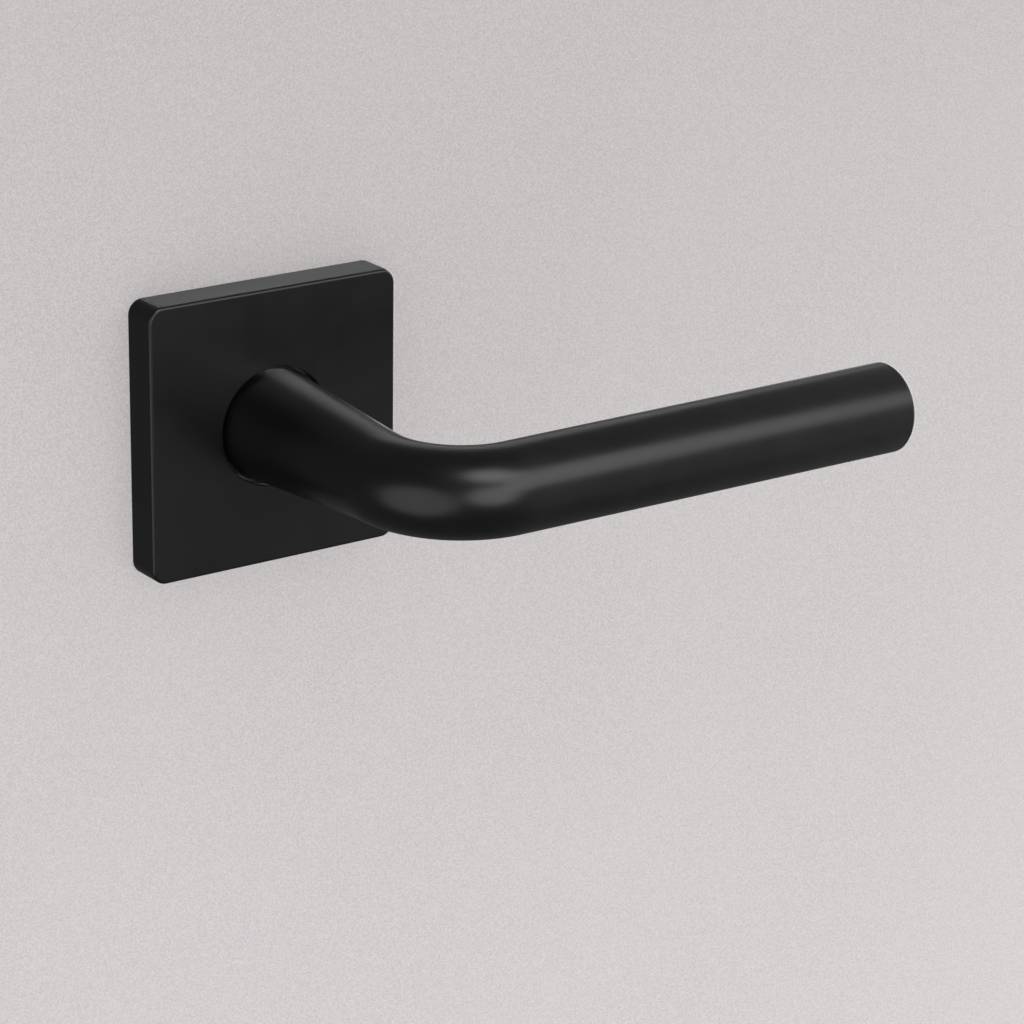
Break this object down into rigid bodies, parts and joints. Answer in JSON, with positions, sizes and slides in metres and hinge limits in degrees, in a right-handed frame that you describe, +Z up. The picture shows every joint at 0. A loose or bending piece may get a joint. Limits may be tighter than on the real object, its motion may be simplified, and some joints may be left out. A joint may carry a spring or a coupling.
{
  "type": "door lever handle",
  "caption": "Round bar door lever with a tapered neck on a square rose, sprung to return level, with its spindle and through bolts.",
  "frame": {"origin": "where the lever's turning axis meets the face of the door, at the centre of the back of the rose", "axes": "+X along the grip from the neck, +Y into the door along the spindle, +Z up"},
  "size_m": [0.135, 0.1215, 0.055],
  "materials": {
    "lever_coat": "fine matte black powder coat",
    "rose_coat": "fine matte black powder coat",
    "black_steel": "black oxide",
    "zinc_steel": "clear zinc plating",
    "spring_steel": "oiled spring steel",
    "nylon": "moulded nylon",
    "foam": "closed-cell foam"
  },
  "bodies": {
    "rose": {"rose_cover": "rose_coat", "neck_bush": "nylon", "rear_bush": "nylon", "spring_can": "zinc_steel", "can_rivet_1": "zinc_steel", "can_rivet_2": "zinc_steel", "can_rivet_3": "zinc_steel", "return_spring": "spring_steel", "stop_pin": "spring_steel", "spring_anchor_pin": "spring_steel", "base_plate": "zinc_steel", "bolt_lug_left": "zinc_steel", "bolt_lug_right": "zinc_steel", "door_gasket": "foam", "through_bolt_left": "zinc_steel", "through_bolt_right": "zinc_steel", "cover_clip_left_upper": "spring_steel", "cover_clip_left_lower": "spring_steel", "cover_clip_right_upper": "spring_steel", "cover_clip_right_lower": "spring_steel"},
    "handle": {"lever": "lever_coat", "grub_screw": "black_steel", "spindle": "zinc_steel", "follower": "zinc_steel", "wave_washer": "spring_steel", "circlip": "spring_steel"}
  },
  "joints": [
    {"name": "lever_turn", "type": "hinge", "parent": "rose", "child": "handle", "pos_m": [0, 0, 0], "axis": [0, 1, 0], "range_deg": [0, 45], "stiffness_Nm_per_rad": 1, "springref_deg": -40.11, "deforming": ["return_spring"]}
  ]
}
